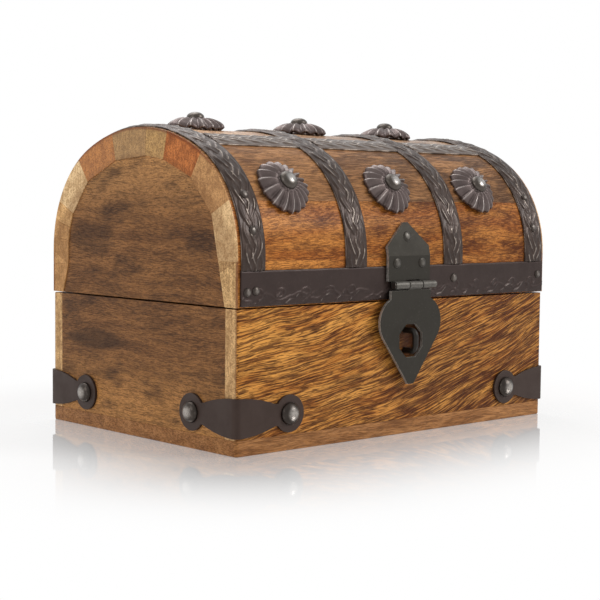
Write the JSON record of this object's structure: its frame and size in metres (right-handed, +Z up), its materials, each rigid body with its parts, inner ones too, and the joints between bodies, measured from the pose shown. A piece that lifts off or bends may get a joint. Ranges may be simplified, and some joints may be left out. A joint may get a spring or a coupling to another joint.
{
  "type": "treasure chest box",
  "caption": "Small arched-lid wooden chest with iron bands, fluted rosettes, corner brackets, back hinges and a heart-shaped hasp over a staple.",
  "frame": {"origin": "on the bottom face, under the middle of the wooden base", "axes": "+X along the length to the right seen from the front, front towards -Y, +Z up"},
  "size_m": [0.167, 0.1209, 0.1175],
  "materials": {
    "base_wood": "oiled",
    "bottom_wood": "oiled",
    "stave_wood": "oiled",
    "panel_wood": "oiled",
    "band_iron": "satin",
    "rosette_metal": "satin",
    "tack_metal": "polished",
    "hasp_metal": "satin",
    "hinge_metal": "satin"
  },
  "bodies": {
    "base": {"back_board": "base_wood", "bottom_board": "bottom_wood", "bracket_back_left": "band_iron", "bracket_back_right": "band_iron", "bracket_front_left": "band_iron", "bracket_front_right": "band_iron", "bracket_tacks": "tack_metal", "end_board_left": "base_wood", "end_board_right": "base_wood", "front_board": "base_wood", "hinge_left_base_leaf": "hinge_metal", "hinge_left_pin": "hinge_metal", "hinge_right_base_leaf": "hinge_metal", "hinge_right_pin": "hinge_metal", "staple": "hasp_metal"},
    "lid": {"arch_band_left_end": "band_iron", "arch_band_left_mid": "band_iron", "arch_band_right_end": "band_iron", "arch_band_right_mid": "band_iron", "front_band": "band_iron", "hasp_pin": "tack_metal", "hasp_plate": "hasp_metal", "hasp_rivets": "tack_metal", "hinge_left_lid_leaf": "hinge_metal", "hinge_right_lid_leaf": "hinge_metal", "lid_panel_left": "panel_wood", "lid_panel_right": "panel_wood", "lid_stave_01": "stave_wood", "lid_stave_02": "stave_wood", "lid_stave_03": "stave_wood", "lid_stave_04": "stave_wood", "lid_stave_05": "stave_wood", "lid_stave_06": "stave_wood", "lid_stave_07": "stave_wood", "lid_stave_08": "stave_wood", "lid_stave_09": "stave_wood", "lid_stave_10": "stave_wood", "lid_stave_11": "stave_wood", "lid_stave_12": "stave_wood", "ridge_band_back": "band_iron", "ridge_band_front": "band_iron", "rosette_front_left": "rosette_metal", "rosette_front_middle": "rosette_metal", "rosette_front_right": "rosette_metal", "rosette_tacks": "tack_metal", "rosette_top_left": "rosette_metal", "rosette_top_middle": "rosette_metal", "rosette_top_right": "rosette_metal"},
    "hasp": {"hasp_heart": "hasp_metal"}
  },
  "joints": [
    {"name": "lid_hinge", "type": "hinge", "parent": "base", "child": "lid", "pos_m": [0, 0.05725, 0.04945], "axis": [-1, 0, 0], "range_deg": [0, 110]},
    {"name": "hasp_hinge", "type": "hinge", "parent": "lid", "child": "hasp", "pos_m": [0, -0.0578, 0.055], "axis": [-1, 0, 0], "range_deg": [-3.4, 160]}
  ]
}
